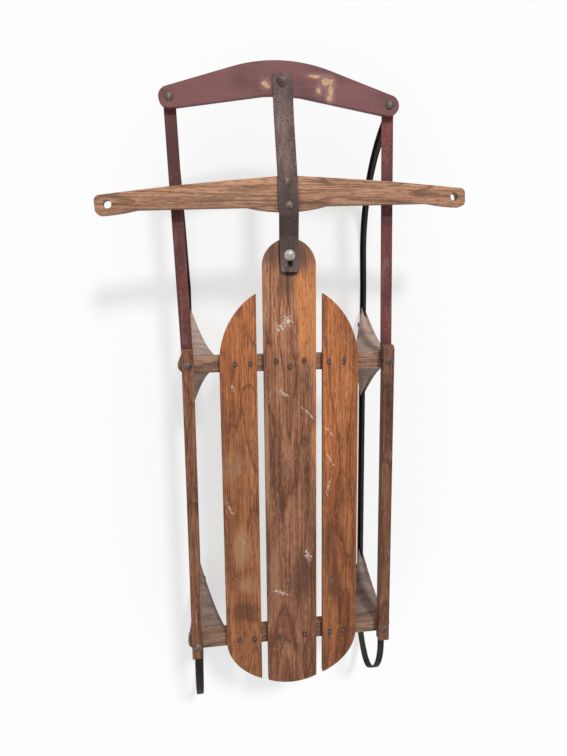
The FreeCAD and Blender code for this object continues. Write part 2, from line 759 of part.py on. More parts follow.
def bumper_rivets(doc, size):
    """The rivets through bumper, strut and runner end at both ends."""
    rivet = domed_pin(
        size.bolt_shank.value / 2,
        (size.strap_top - 2 * size.strap_thickness).value,
        size.bumper_top.value,
        size.bolt_head.value / 2,
        size.bolt_head_rise.value,
        foot=(size.bolt_head.value / 2, size.bolt_head_rise.value / 2),
    )
    rivets = [moved(rivet, Vector(side * size.half_bumper.value, 0, 0)) for side in (1, -1)]
    place_y = size.pin_y - size.bumper_place + size.turn_y
    return feature(doc, "bumper_rivets", Part.makeCompound(rivets), x=size.turn_x, y=place_y)


def strut(doc, size, name, side):
    """A steel strap from a rail's front bolt to the bumper's end."""
    body = new_body(doc, name)
    along = size.front_crossbar_place + size.bumper_place
    length = along / cos(angle_of(size.splay, along))
    half = size.strut_width / 2
    sketch = new_sketch(body, "XY_Plane", f"{name}_outline")
    outline(
        sketch,
        (half, -length),
        (half, 0),
        ((0, half), (-half, 0)),
        (-half, -length),
        ((0, -length - half), (half, -length)),
    )
    pad(body, sketch, size.strap_thickness)
    drill(doc, body, [(0, 0, size.hole), (0, -length, size.loose_hole)])
    turn = angle_of(side * size.splay + size.turn_x, along - size.turn_y)
    place_y = size.pin_y + size.front_crossbar_place
    place(body, x=side * size.half_rail, y=place_y, z=size.crossbar_top, turn=turn)
    return body


# ---- runners and knees ---------------------------------------------------------------------------


def faded_web(points, radii, size):
    """A runner's web on its tread, cut off at a slope where the path starts."""
    low, high, fade = size.strap_thickness.value, size.web_top.value, size.web_fade.value
    web = bent_strip(points, radii, low, high, size.web_thickness.value)
    (y0, z0), (y1, z1) = points[0], points[1]
    length = math.hypot(y1 - y0, z1 - z0)
    ahead = Vector(0, y1 - y0, z1 - z0) / length
    left = Vector(0, -ahead.z, ahead.y)
    start = Vector(-size.web_thickness.value, y0, z0)
    corners = [
        start + left * low - ahead,
        start + left * (high + 1) - ahead,
        start + left * (high + 1) + ahead * fade,
        start + left * low,
    ]
    wedge = Part.Face(Part.makePolygon(corners + corners[:1]))
    return web.cut(wedge.extrude(Vector(2 * size.web_thickness.value, 0, 0)))


def runner_front(doc, size, name, side):
    """The runner ahead of its flexing point, which is this piece's own origin."""
    reach = size.split_place + size.bumper_place
    reach = reach / cos(angle_of(size.splay, reach))
    level = (size.crossbar_top - size.strap_thickness).value
    bend = size.prow_bend_setback.value - reach.value
    slope = math.radians(size.prow_slope.value)
    foot = bend + level / math.tan(slope)
    end = -size.split_gap.value / 2
    path = [(-reach.value, level), (bend, level), (foot, 0), (end, 0)]
    # The upward curve takes all of the slope but a short straight stretch and the bend's half.
    curved = level / math.sin(slope) - size.prow_straight.value
    bends = [-size.prow_bend.value, curved / math.tan(slope / 2) - size.prow_bend.value]
    strap = bent_strip(path, bends, 0, size.strap_thickness.value, size.tread_width.value)
    setback = size.prow_bend.value
    web_start = (bend + setback * math.cos(slope), level - setback * math.sin(slope))
    web = faded_web([web_start, path[2], path[3]], bends[1:], size)
    top = size.crossbar_top.value
    eye = hole_cutter(0, -reach.value, size.prow_eye.value / 2, level, top)
    hole = hole_cutter(0, -reach.value, size.loose_hole.value, 0, top + 1)
    solid = strap.fuse([web, eye]).cut(hole).removeSplitter()
    turn = angle_of(side * size.splay + size.turn_x, size.split_place + size.bumper_place - size.turn_y)
    return feature(doc, name, solid, x=side * size.half_rail, y=size.pin_y + size.split_place, turn=turn)


def tail_path(size, side):
    """The outer face of the runner's rear part, from the rail bolt round the tail loop to the split."""
    slope = math.radians(size.tail_slope.value)
    reach = size.tail_reach_left if side > 0 else size.tail_reach_right
    corner = reach.value + size.tail_rear_curve.value * (1 / math.sin(slope) - 1)
    height = size.tail_corner.value
    top = size.strap_top.value
    return [
        (size.rear_crossbar_place.value, top),
        (corner - (top - height) / math.tan(slope), top),
        (corner, height),
        (corner - height / math.tan(slope), 0),
        (size.split_place.value + size.split_gap.value / 2, 0),
    ]


def tail_strip(size, side, low, high, width):
    """A strip along the tail path. Seen from its start the path turns right, round its inner side."""
    bends = (size.tail_head_curve, size.tail_rear_curve, size.tail_foot_curve)
    return bent_strip(tail_path(size, side), [-bend.value for bend in bends], low, high, width)


def runner(doc, size, name, side):
    """The runner from its flexing point to the tail loop that rises to the rail."""
    path = tail_path(size, side)
    thickness = size.strap_thickness.value
    strap = tail_strip(size, side, -thickness, 0, size.tread_width.value)
    curve = size.tail_foot_curve.value * math.tan(math.radians(size.tail_slope.value) / 2)
    web = faded_tail_web([path[4], (path[3][0] - curve, 0)], size)
    top = size.strap_top.value
    eye = hole_cutter(0, path[0][0], size.tail_eye.value / 2, top - thickness, top)
    hole = hole_cutter(0, path[0][0], size.hole.value, top - thickness - 1, top + 1)
    solid = strap.fuse([web, eye]).cut(hole).removeSplitter()
    return feature(doc, name, solid, x=side * size.half_rail, y=size.pin_y)


def faded_tail_web(path, size):
    """The web of the runner's rear part, straight and cut off at a slope where the tail rises."""
    web = faded_web([(-y, z) for y, z in reversed(path)], [], size)
    return web.mirror(Vector(0, 0, 0), Vector(0, 1, 0))


def knee_section(size, side, height, inset):
    """A knee's outline at one height: long and thin at the foot, short and wide under the crossbar."""
    foot = size.strap_thickness.value + size.knee_foot_rise.value
    share = max(0, (height - foot) / (size.crossbar_bottom.value - foot))
    thin = size.web_thickness.value / 2 + size.knee_sheet.value
    flare = share**size.knee_flare.value
    inner = thin + (size.knee_inner_reach.value - thin) * flare - inset
    outer = thin + (size.knee_outer_reach.value - thin) * flare - inset
    half_top = size.knee_top_depth.value / 2
    spread = size.knee_foot_length.value / 2 - half_top
    depth = half_top + spread * (1 - share) ** size.knee_taper.value - inset
    left, right = (-inner, outer) if side > 0 else (-outer, inner)
    corners = [(left, -depth), (right, -depth), (right, depth), (left, depth)]
    return Part.makePolygon([Vector(x, y, height) for x, y in corners + corners[:1]])


def knee_loft(size, side, bottom, top, inset):
    heights = [bottom + (top - bottom) * step / KNEE_STEPS for step in range(KNEE_STEPS + 1)]
    return Part.makeLoft([knee_section(size, side, z, inset) for z in heights], True, False)


def knee(doc, size, name, side, place_y):
    """A knee of pressed sheet, open below, that stands astride the runner's web."""
    foot = (size.strap_thickness + size.knee_foot_rise).value
    top = size.crossbar_bottom.value
    sheet = size.knee_sheet.value
    width = size.knee_foot_length.value
    cutters = [tail_strip(size, side, -size.web_top.value - sheet, foot, size.web_thickness.value)]
    cutters.append(tail_strip(size, side, -foot, size.knee_top_depth.value, width))
    for cutter in cutters:
        cutter.translate(Vector(0, -place_y.value, 0))
    outside = knee_loft(size, side, foot / 2, top, 0)
    inside = knee_loft(size, side, foot / 2, top - sheet, sheet)
    shell = outside
    for tool in (inside, *cutters, hole_cutter(0, 0, size.hole.value, top - 2 * sheet, top + 1)):
        shell = shell.cut(tool)
    return feature(doc, name, shell, x=side * size.half_rail, y=size.pin_y + place_y)


# ---- the whole sled ------------------------------------------------------------------------------


def build_nodes(doc, size):
    deck_outline(doc, size)
    nodes = [centre_slat(doc, size)]
    nodes += mirrored_pair(side_slat, doc, size, "deck_slat")
    nodes += mirrored_pair(side_rail, doc, size, "side_rail")
    for end, place_y in (("front", size.front_crossbar_place), ("rear", size.rear_crossbar_place)):
        nodes.append(crossbar(doc, size, f"{end}_crossbar", place_y))
        for hand, side in (("left", 1), ("right", -1)):
            nodes.append(knee(doc, size, f"{end}_knee_{hand}", side, place_y))
    nodes += mirrored_pair(runner, doc, size, "runner")
    nodes += mirrored_pair(runner_front, doc, size, "runner_front")
    nodes += mirrored_pair(strut, doc, size, "strut")
    nodes += [steering_pin(doc, size), steering_bar(doc, size), handle(doc, size)]
    nodes += [handle_rivets(doc, size), rail_bolts(doc, size)]
    nodes += [bumper(doc, size), bumper_bolt(doc, size), bumper_rivets(doc, size)]
    return nodes


def check(doc, nodes):
    """Refuse a document with a failed object or a piece without a sound shape."""
    for obj in doc.Objects:
        if {"Invalid", "Error"} & set(obj.State):
            raise ValueError(f"{obj.Label} failed: {obj.State}")
    for node in nodes:
        if node.Shape.isNull() or not node.Shape.isValid() or node.Shape.Volume <= 0:
            raise ValueError(f"{node.Label} has no valid shape")


def main():
    doc = FreeCAD.newDocument("sled")
    size = make_sheet(doc)
    derive(size)
    nodes = build_nodes(doc, size)
    doc.recompute()
    check(doc, nodes)
    os.makedirs("parts", exist_ok=True)
    for node in nodes:
        node.Shape.exportStep(f"parts/{node.Label}.step")


main()
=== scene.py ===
"""Finishes for a steerable wooden sled: worn varnish, faded paint, browned steel and small hardware."""

import json
import math

import bmesh
import bpy
import numpy as np
from bpy.props import FloatProperty, FloatVectorProperty, PointerProperty
from mathutils import Matrix, Vector


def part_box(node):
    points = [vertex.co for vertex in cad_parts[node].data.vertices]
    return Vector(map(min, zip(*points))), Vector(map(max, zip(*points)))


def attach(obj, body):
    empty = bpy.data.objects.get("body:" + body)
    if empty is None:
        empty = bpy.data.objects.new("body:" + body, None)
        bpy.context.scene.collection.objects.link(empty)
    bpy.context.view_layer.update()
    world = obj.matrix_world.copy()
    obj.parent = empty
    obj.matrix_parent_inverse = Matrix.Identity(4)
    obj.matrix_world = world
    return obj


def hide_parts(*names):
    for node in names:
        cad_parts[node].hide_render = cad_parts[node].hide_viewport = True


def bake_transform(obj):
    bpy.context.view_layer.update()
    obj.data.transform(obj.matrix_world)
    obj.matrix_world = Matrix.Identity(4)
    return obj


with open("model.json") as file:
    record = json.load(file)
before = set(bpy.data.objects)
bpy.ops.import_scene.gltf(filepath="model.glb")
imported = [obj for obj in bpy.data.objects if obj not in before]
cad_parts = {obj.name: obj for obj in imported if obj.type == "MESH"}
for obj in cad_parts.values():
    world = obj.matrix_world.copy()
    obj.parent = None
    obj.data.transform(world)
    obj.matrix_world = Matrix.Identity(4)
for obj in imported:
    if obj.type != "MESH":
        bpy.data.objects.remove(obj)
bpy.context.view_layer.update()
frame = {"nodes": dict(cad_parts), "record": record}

bl_info = {
    "name": "Wooden Sled",
    "version": (1, 0, 0),
    "blender": (4, 5, 0),
    "location": "3D View > Sidebar > Sled",
    "description": "Finishes a steerable wooden sled",
    "category": "Add Mesh",
}

DECK = ("deck_slat_left", "deck_slat_centre", "deck_slat_right")
CROSSBARS = ("front_crossbar", "rear_crossbar")
RAILS = ("side_rail_left", "side_rail_right")
HARDWARE = ("rail_bolts", "bumper_bolt", "bumper_rivets", "handle_rivets")
HANDS = {"left": 1, "right": -1}


def low(node):
    return Vector(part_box(node)[0])


def high(node):
    return Vector(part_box(node)[1])


def middle(node):
    return (low(node) + high(node)) / 2


PIN = middle("steering_pin")
BOLT = middle("bumper_bolt")
RAIL_X = middle("side_rail_left").x
FRONT_BAR = middle("front_crossbar")
REAR_BAR = middle("rear_crossbar")
CROSSBAR_TOP = high("front_crossbar").z
DECK_TOP = high("deck_slat_centre").z

CHALK = (0.80, 0.71, 0.64)
SOOT = (0.060, 0.034, 0.027)
# Near black painted shade: the shadow under the steering bar's tail, the dark seen through its slot, and
# the pin's collar under the bar.
PAINTED_SHADE_BLACK = (0.008, 0.006, 0.005)
BARE_TAN = (0.37, 0.200, 0.105)
OIL = (0.060, 0.021, 0.010)
RUST = (0.050, 0.024, 0.016)
BLACK_RUST = (0.022, 0.013, 0.011)


def behind_pin(x, distance):
    """A place seen from above: across the sled, and behind the steering pin."""
    return (x, PIN.y + distance)


def toned(colour, share):
    """A colour made darker or lighter."""
    return tuple(share * value for value in colour)


def colour_property(name, value, description):
    return FloatVectorProperty(
        name=name, description=description, default=value, subtype="COLOR", size=3, min=0, max=1
    )


def length_property(name, value, description):
    return FloatProperty(
        name=name, description=description, default=value, min=0, subtype="DISTANCE", unit="LENGTH"
    )


class SledSettings(bpy.types.PropertyGroup):
    board_edge: length_property("Board edge", 0.0014, "Rounding of the boards' edges")
    metal_edge: length_property("Metal edge", 0.0005, "Rounding of the steel straps' edges")
    nail_radius: length_property("Nail radius", 0.0021, "Radius of the deck nails' heads")
    rivet_radius: length_property("Rivet radius", 0.0048, "Radius of the knees' rivets")
    varnish: colour_property("Varnish", (0.420, 0.130, 0.040), "Worn varnish on the outer slats")
    varnish_dark: colour_property("Varnish grain", (0.085, 0.024, 0.009), "Dark grain under varnish")
    varnish_light: colour_property("Varnish light", (0.52, 0.205, 0.075), "Light grain under varnish")
    centre: colour_property("Centre slat", (0.450, 0.185, 0.094), "Worn varnish on the centre slat")
    centre_dark: colour_property("Centre grain", (0.070, 0.022, 0.010), "Its dark grain")
    centre_light: colour_property("Centre light", (0.56, 0.27, 0.15), "Its light grain")
    amber: colour_property("Amber", (0.62, 0.225, 0.058), "Fresher side of the centre slat")
    bare_wood: colour_property("Bare wood", (0.27, 0.150, 0.092), "Weathered wood of the crossbars")
    rail_wood: colour_property("Rail wood", (0.180, 0.062, 0.030), "Darkened wood of the side rails")
    handle_wood: colour_property("Handle wood", (0.47, 0.225, 0.128), "Weathered wood of the handle")
    maroon: colour_property("Maroon", (0.150, 0.048, 0.048), "Faded paint on the bumper")
    strut_red: colour_property("Strut red", (0.185, 0.036, 0.031), "Worn paint on the struts")
    steel: colour_property("Steel", (0.160, 0.094, 0.082), "Browned steel of the steering bar")
    knee_grey: colour_property("Knee grey", (0.43, 0.300, 0.243), "Dull sheet steel of the knees")
    black: colour_property("Black", (0.020, 0.016, 0.017), "Blackened runners")


# ---- shader maths --------------------------------------------------------------------------------


class Sock:
    """A node's output that takes part in Python expressions. Each operator adds a Math node."""

    def __init__(self, shader, socket):
        self.shader = shader
        self.socket = socket

    def math(self, operation, *others):
        values = dict(enumerate((self, *others)))
        return self.shader.node("ShaderNodeMath", {"operation": operation}, values)

    def __add__(self, other):
        return self.math("ADD", other)

    def __sub__(self, other):
        return self.math("SUBTRACT", other)

    def __mul__(self, other):
        return self.math("MULTIPLY", other)

    def __radd__(self, other):
        return self.math("ADD", other)

    def __rmul__(self, other):
        return self.math("MULTIPLY", other)

    def __rsub__(self, other):
        return self.shader.node("ShaderNodeMath", {"operation": "SUBTRACT"}, {0: other, 1: self})

    def smooth(self, start, end):
        """0 below start, 1 above end, and a smooth step between them."""
        falling = start > end
        values = {"Value": self, "From Min": min(start, end), "From Max": max(start, end)}
        step = self.shader.node("ShaderNodeMapRange", {"interpolation_type": "SMOOTHSTEP"}, values)
        return 1 - step if falling else step


class Shader:
    """A material under construction: its tree, its main shader and its coordinates."""

    def __init__(self, name):
        self.material = bpy.data.materials.new(name)
        self.material.use_nodes = True
        self.tree = self.material.node_tree
        self.main = self.tree.nodes["Principled BSDF"]
        self.place = self.node("ShaderNodeTexCoord", output="Object")
        self.x, self.y, self.z = (
            self.node("ShaderNodeSeparateXYZ", values={0: self.place}, output=part) for part in range(3)
        )

    def node(self, kind, settings=None, values=None, output=0):
        item = self.tree.nodes.new(kind)
        for key, value in (settings or {}).items():
            setattr(item, key, value)
        for key, value in (values or {}).items():
            self.feed(item.inputs[key], value)
        return Sock(self, item.outputs[output])

    def feed(self, socket, value):
        if isinstance(value, Sock):
            self.tree.links.new(value.socket, socket)
        elif socket.type == "RGBA" and len(value) == 3:
            socket.default_value = (*value, 1)
        else:
            socket.default_value = value

    def stretched(self, factors, offset=(0, 0, 0)):
        """The coordinates scaled along each axis and then moved."""
        values = {0: self.place, 1: factors, 2: offset}
        return self.node("ShaderNodeVectorMath", {"operation": "MULTIPLY_ADD"}, values)

    def noise(self, factors, detail=3.0, offset=(0, 0, 0), twist=0.0):
        """Noise from 0 to 1 with its own number of waves a metre along each axis."""
        where = self.stretched(factors, offset)
        values = {"Vector": where, "Scale": 1.0, "Detail": detail, "Distortion": twist}
        return self.node("ShaderNodeTexNoise", None, values)

    def mix(self, factor, first, second):
        values = {0: factor, 6: first, 7: second}
        return self.node("ShaderNodeMix", {"data_type": "RGBA"}, values, output=2)

    def patch(self, spot, size, slant=0.0):
        """The distance from a spot in the plane, measured in a patch's half sizes along its slant."""
        values = {0: self.place, 1: (*spot, 0)}
        offset = self.node("ShaderNodeVectorMath", {"operation": "SUBTRACT"}, values)
        values = {0: self.turned(offset, slant), 1: (1 / size[0], 1 / size[1], 0)}
        local = self.node("ShaderNodeVectorMath", {"operation": "MULTIPLY"}, values)
        return self.node("ShaderNodeVectorMath", {"operation": "LENGTH"}, {0: local}, output="Value")

    def turned(self, place, slant):
        """A place turned about the upright axis."""
        values = {"Vector": place, "Rotation": (0, 0, slant)}
        return self.node("ShaderNodeMapping", {"vector_type": "POINT"}, values)

    def slanted_noise(self, slant, factors, offset, detail):
        """Noise whose waves run along a slant in the plane."""
        values = {0: self.turned(self.place, slant), 1: factors, 2: offset}
        where = self.node("ShaderNodeVectorMath", {"operation": "MULTIPLY_ADD"}, values)
        return self.node("ShaderNodeTexNoise", None, {"Vector": where, "Scale": 1.0, "Detail": detail})

    def finish(self, colour, rough, metal=0.0, height=None, depth=0.0003, shine=0.3):
        self.feed(self.main.inputs["Base Color"], colour)
        self.feed(self.main.inputs["Roughness"], rough)
        self.feed(self.main.inputs["Metallic"], metal)
        self.feed(self.main.inputs["Specular IOR Level"], shine)
        if height is not None:
            values = {"Strength": 1.0, "Distance": depth, "Height": height}
            self.feed(self.main.inputs["Normal"], self.node("ShaderNodeBump", None, values))
        return self.material


def along(axis, slow, fast):
    """Waves a metre for a grain that runs along X or Y: slow along it and fast across it."""
    return (slow, fast, fast) if axis == "X" else (fast, slow, fast)


# ---- finishes ------------------------------------------------------------------------------------


def wood(name, axis, tones, seed, rings=9.0, figure=0.35, gloss=0.42, streaks=0.5, toe=None, amber=None,
         stains=(), nails=(), scuffs=()):
    """Flat-sawn wood of three tones: dark, body and light. The contours of slow noise make its rings,
    and faster noises its fibres, strands, pores, blotches and mottle. The body may change towards the
    toe, which has a colour, a start and an end, and amber is the tone of a fresher side."""
    dark, body, light = tones
    shader = Shader(name)
    shift = (seed * 3.7, seed * 1.9, seed * 2.3)
    field = shader.noise(along(axis, 2.2, 15.0), 1.5, shift, figure)
    ripple = shader.noise(along(axis, 16.0, 70.0), 2.0, shift)
    saw = (field * rings + ripple * 0.45).math("FRACT")
    band = saw.smooth(0.0, 0.75) * saw.smooth(1.0, 0.86)
    late_wood = saw.smooth(0.76, 0.97) * saw.smooth(1.0, 0.985)
    fibre = shader.noise(along(axis, 10.0, 620.0), 3.0, shift)
    strand = shader.noise(along(axis, 4.0, 190.0), 2.0, shift)
    pores = shader.noise(along(axis, 42.0, 1150.0), 1.0, shift).smooth(0.57, 0.68)
    blotch = shader.noise(along(axis, 6.0, 22.0), 4.0, shift).smooth(0.42, 0.72)
    mottle = shader.noise(along(axis, 90.0, 330.0), 3.0, shift)
    if toe is not None:
        end_colour, start, end = toe
        body = shader.mix(shader.y.smooth(start, end), body, end_colour)
    colour = shader.mix(band * 0.30 + fibre * 0.30, body, light)
    colour = shader.mix(late_wood * 0.60, colour, dark)
    colour = shader.mix(fibre.smooth(0.56, 0.38) * streaks, colour, dark)
    colour = shader.mix(strand.smooth(0.46, 0.28) * streaks * 0.7, colour, dark)
    colour = shader.mix(blotch * 0.42, colour, dark)
    if amber is not None:
        lined = shader.mix(fibre.smooth(0.58, 0.40) * 0.75, amber, body)
        lined = shader.mix(strand.smooth(0.56, 0.42) * 0.40, lined, body)
        colour = shader.mix(fresh_side(shader), colour, lined)
    colour = shader.mix(pores * 0.65, colour, dark)
    colour = shader.mix(mottle.smooth(0.56, 0.68) * 0.38, colour, dark)
    colour = shader.mix(mottle.smooth(0.42, 0.30) * 0.30, colour, light)
    # Stains and bare patches; on the centre slat also painted shade by the steering bar's tail.
    for spot, size, strength, stain in stains:
        edge = shader.patch(spot, size) + field * 0.9
        colour = shader.mix(edge.smooth(1.6, 0.9) * strength, colour, stain)
    for x, y, _ in nails:
        ring = shader.patch((x, y), (0.0056, 0.0075)) + fibre * 0.9
        colour = shader.mix(ring.smooth(1.45, 0.90) * 0.85, colour, BLACK_RUST)
        streak = shader.patch((x, y), (0.0045, 0.0200)) + fibre * 0.9
        colour = shader.mix(streak.smooth(1.5, 0.60) * 0.35, colour, RUST)
    marks = scratches(shader, seed)
    for number, (spot, size, slant) in enumerate(scuffs):
        marks = marks.math("MAXIMUM", scuff(shader, spot, size, slant, seed + number))
    colour = shader.mix(marks * 0.80, colour, CHALK)
    rough = gloss + fibre * 0.16 + marks * 0.2
    height = fibre * 0.35 + band * 0.25 - pores * 0.5
    return shader.finish(colour, rough, 0.0, height, 0.00035)


def fresh_side(shader):
    """Where the centre slat kept its colour: its right side behind the nose, and then a thin strip."""
    wander = (shader.noise((14.0, 22.0, 14.0), 2.0) - 0.5) * 0.022
    behind = shader.y - (PIN.y + 0.03)
    broad = (shader.x + 0.004 + behind * 0.09 + wander).smooth(0.0015, -0.0015)
    broad = broad * behind.smooth(0.155, 0.138) * behind.smooth(-0.012, 0.010)
    thin = (shader.x + 0.036 + wander * 0.6).smooth(0.0025, -0.0025) * behind.smooth(0.42, 0.15) * 0.55
    return broad.math("MAXIMUM", thin)


def scuff(shader, spot, size, slant, seed):
    """A chalky patch of broken lines along its slant, densest at its middle."""
    reach = shader.patch(spot, size, slant)
    line = shader.slanted_noise(slant, (760.0, 210.0, 1.0), (seed * 2.1, seed * 5.3, 0), 2.0)
    return (line - reach * 0.20).smooth(0.44, 0.52) * reach.smooth(1.3, 0.9)


def scratches(shader, seed):
    """Sparse thin marks: stretched noise in two slanted directions, kept where patchy noise allows."""
    first, second = (
        shader.slanted_noise(slant, (1000.0, 24.0, 1.0), (seed * 5.1 + turn, seed, 0), 0.0)
        for turn, slant in enumerate((0.30, -0.75))
    )
    lines = first.math("MAXIMUM", second).smooth(0.755, 0.80)
    patch = shader.noise((16.0, 9.0, 4.0), 2.0, (seed, 4.0, 0)).smooth(0.52, 0.66)
    return lines * patch * 0.35


def painted_wood(name, settings, chips):
    """Faded paint on a board: streaks along it, dark clouds and specks, light specks, and chips down to the
    tan wood, each in a paler rim.
    """
    shader = Shader(name)
    streak = shader.noise(along("X", 7.0, 170.0), 4.0)
    cloud = shader.noise((18.0, 26.0, 18.0), 3.0)
    speck = shader.noise((420.0, 640.0, 420.0), 2.0)
    colour = shader.mix(streak * 0.75, settings.maroon, (0.245, 0.105, 0.105))
    colour = shader.mix(cloud.smooth(0.45, 0.75) * 0.55, colour, (0.075, 0.028, 0.026))
    colour = shader.mix(speck.smooth(0.62, 0.72) * 0.45, colour, (0.065, 0.025, 0.023))
    colour = shader.mix(speck.smooth(0.36, 0.28) * 0.55, colour, (0.34, 0.22, 0.19))
    ragged = shader.noise((130.0, 150.0, 130.0), 5.0)
    bare = None
    for spot, size in chips:
        reach = shader.patch(spot, size)
        chip = (reach + ragged * 2.8).smooth(2.42, 2.30)
        colour = shader.mix(reach.smooth(2.6, 1.0) * 0.30, colour, (0.40, 0.22, 0.20))
        bare = chip if bare is None else bare.math("MAXIMUM", chip)
    grain = shader.noise(along("X", 12.0, 420.0), 3.0)
    tan = shader.mix(grain, (0.36, 0.20, 0.095), (0.62, 0.41, 0.23))
    colour = shader.mix(bare, colour, tan)
    height = streak * 0.3 + speck * 0.2 - bare * 1.0
    return shader.finish(colour, 0.52 + speck * 0.14, 0.0, height, 0.0004)


def steel(name, colour, worn, axis="Y", metal=0.35, rough=0.48, wear=0.5, dark=(0.03, 0.02, 0.018),
          stain=None, below=None, shine=0.4):
    """Old steel: cloudy tone, fine pitting and patches worn down to a second colour. It may have a dark
    patch, which has a place and half sizes: staining, and on the steering bar also painted shade. Below a
    level it may be painted black, as painted shade."""
    shader = Shader(name)
    cloud = shader.noise(along(axis, 14.0, 60.0), 4.0)
    pits = shader.noise((700.0, 700.0, 700.0), 2.0)
    rubbed = shader.noise(along(axis, 22.0, 150.0), 5.0, (7, 3, 1)).smooth(0.54, 0.66)
    base = shader.mix(cloud.smooth(0.35, 0.65) * 0.65, colour, dark)
    base = shader.mix(rubbed * wear, base, worn)
    grit = shader.noise((260.0, 260.0, 260.0), 3.0)
    base = shader.mix(grit.smooth(0.56, 0.68) * 0.55, base, worn)
    base = shader.mix(grit.smooth(0.46, 0.34) * 0.60, base, dark)
    base = shader.mix(pits.smooth(0.60, 0.72) * 0.35, base, worn)
    # Painted shade: below the level the colour is painted black, for a part in shade under a piece above
    # it.
    if below is not None:
        base = shader.mix(shader.z.smooth(below, below - 0.0004), base, PAINTED_SHADE_BLACK)
    # The dark patch: staining, and on the steering bar also painted shade.
    if stain is not None:
        soot_and_shade = (shader.patch(*stain) + cloud * 0.8).smooth(1.5, 0.8)
        base = shader.mix(soot_and_shade * 0.7, base, dark)
    height = pits * 0.6 + cloud * 0.4
    return shader.finish(base, rough + pits * 0.2, metal, height, 0.00025, shine)


# ---- meshes --------------------------------------------------------------------------------------


SHARP_EDGE = math.radians(40)


def tube_mesh(name, tubes):
    """A mesh of closed tubes. Each is a grid of points (rings, points of a ring, 3): faces join each
    ring to the next, and a cap closes the first ring and the last."""
    faces, start = [], 0
    for points in tubes:
        rings, around = points.shape[:2]
        index = start + np.arange(rings * around).reshape(rings, around)
        here, there = index[:-1], index[1:]
        quads = [here, np.roll(here, -1, axis=1), np.roll(there, -1, axis=1), there]
        faces += np.stack(quads, axis=-1).reshape(-1, 4).tolist()
        faces += [index[0][::-1].tolist(), index[-1].tolist()]
        start += rings * around
    mesh = bpy.data.meshes.new(name)
    points = np.concatenate([points.reshape(-1, 3) for points in tubes])
    mesh.from_pydata(points.tolist(), [], faces)
    return mesh


def outward(mesh):
    """Turn every face of a closed mesh outwards."""
    work = bmesh.new()
    work.from_mesh(mesh)
    bmesh.ops.remove_doubles(work, verts=work.verts, dist=1e-7)
    bmesh.ops.recalc_face_normals(work, faces=work.faces)
    work.to_mesh(mesh)
    work.free()


def add_piece(name, tubes, material):
    """A finished piece made of closed tubes."""
    mesh = tube_mesh(name, tubes)
    outward(mesh)
    mesh.shade_smooth()
    mesh.set_sharp_from_angle(angle=SHARP_EDGE)
    mesh.materials.append(material)
    piece = bpy.data.objects.new(name, mesh)
    bpy.context.scene.collection.objects.link(piece)
    return piece


def dome(spot, radius, rise, axis="Z", sign=1, lumps=0.0, seed=0):
    """A domed head: circles whose radius is the sine, and whose height the cosine, of a quarter turn,
    with a short straight side below, and its rim waved a little where lumps is over 0."""
    turn = np.linspace(0, 2 * np.pi, 28, endpoint=False)
    quarter = np.linspace(0, np.pi / 2, 9)[1:]
    ring = np.concatenate([np.sin(quarter), [1.0]])
    level = np.concatenate([np.cos(quarter) * rise, [-0.4 * rise]])
    wave = 1 + lumps * np.sin(2 * turn + seed) + 0.6 * lumps * np.sin(3 * turn + 2.1 * seed)
    flat = ring[:, None] * radius * wave[None, :]
    x, y = flat * np.cos(turn), flat * np.sin(turn)
    z = np.broadcast_to(level[:, None], x.shape)
    points = np.stack([x, y, z * sign], axis=-1)
    if axis == "X":
        points = points[..., [2, 1, 0]]
    return points + np.array(spot)


def ease_edges(node, width, material, segments=3):
    """Round a CAD piece's sharp edges without touching its mesh, and give it its finish."""
    piece = frame["nodes"][node]
    weld = piece.modifiers.new("weld", "WELD")
    weld.merge_threshold = 1e-6
    flat = piece.modifiers.new("flats", "DECIMATE")
    flat.decimate_type = "DISSOLVE"
    flat.angle_limit = math.radians(0.5)
    bevel = piece.modifiers.new("edges", "BEVEL")
    bevel.width = width
    bevel.segments = segments
    bevel.limit_method = "ANGLE"
    bevel.angle_limit = SHARP_EDGE
    paint(node, material)


def paint(node, material):
    piece = frame["nodes"][node]
    if not piece.material_slots:
        piece.data.materials.append(material)
    for place in piece.material_slots:
        place.material = material


# ---- deck ----------------------------------------------------------------------------------------


# Chalky scuffs: their middles, half sizes and slants.
CENTRE_SCUFFS = (
    (behind_pin(0.017, 0.117), (0.014, 0.012), 0.2),
    (behind_pin(0.004, 0.106), (0.010, 0.014), -0.4),
    (behind_pin(0.011, 0.229), (0.0050, 0.020), -1.0),
    (behind_pin(-0.033, 0.267), (0.0026, 0.030), -0.75),
    (behind_pin(-0.029, 0.523), (0.015, 0.008), 1.2),
    (behind_pin(0.020, 0.590), (0.004, 0.020), -1.2),
)
LEFT_SCUFFS = (
    (behind_pin(0.098, 0.217), (0.006, 0.006), 0.4),
    (behind_pin(0.108, 0.425), (0.0030, 0.018), -0.5),
)
RIGHT_SCUFFS = (
    (behind_pin(-0.069, 0.300), (0.0028, 0.018), -0.8),
    (behind_pin(-0.070, 0.350), (0.0022, 0.020), -0.5),
    (behind_pin(-0.066, 0.400), (0.0040, 0.022), 0.25),
)

